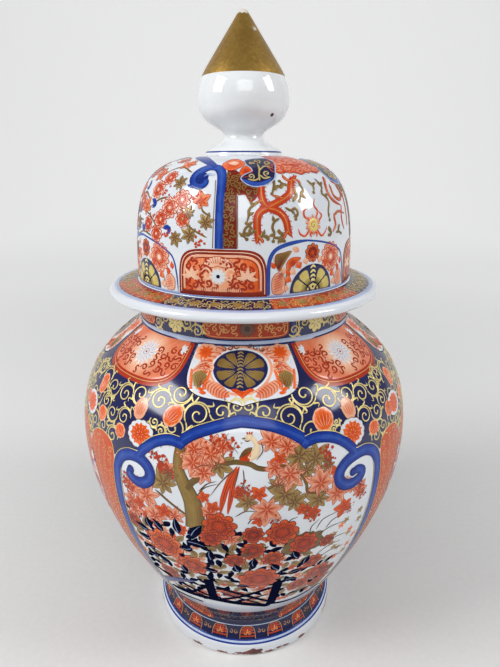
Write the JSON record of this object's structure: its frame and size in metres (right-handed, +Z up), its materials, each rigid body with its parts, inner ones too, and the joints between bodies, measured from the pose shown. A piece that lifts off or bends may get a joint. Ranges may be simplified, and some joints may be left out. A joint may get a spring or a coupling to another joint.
{
  "type": "lidded porcelain jar",
  "caption": "Baluster-shaped covered porcelain jar with turned foot ring, upright neck and a domed, flanged lift-off lid with a pointed finial.",
  "frame": {"origin": "centre of the foot ring's resting face", "axes": "+Z up the axis that every piece is turned about, -Y towards the viewer of the front panel, +X to that viewer's right"},
  "size_m": [0.2466, 0.2466, 0.4605],
  "materials": {
    "jar_glaze": "gloss",
    "lid_glaze": "gloss",
    "finial_glaze": "gloss",
    "cobalt_blue": "gloss",
    "iron_red": "satin",
    "gilding": "satin",
    "bare_porcelain": "matt"
  },
  "bodies": {
    "jar": {"jar_body": "jar_glaze"},
    "lid": {"lid_cover": "lid_glaze", "lid_finial": "finial_glaze"}
  },
  "joints": [
    {"name": "lid_lift", "type": "slide", "parent": "jar", "child": "lid", "axis": [0, 0, 1], "range_m": [0, 0.15]}
  ]
}
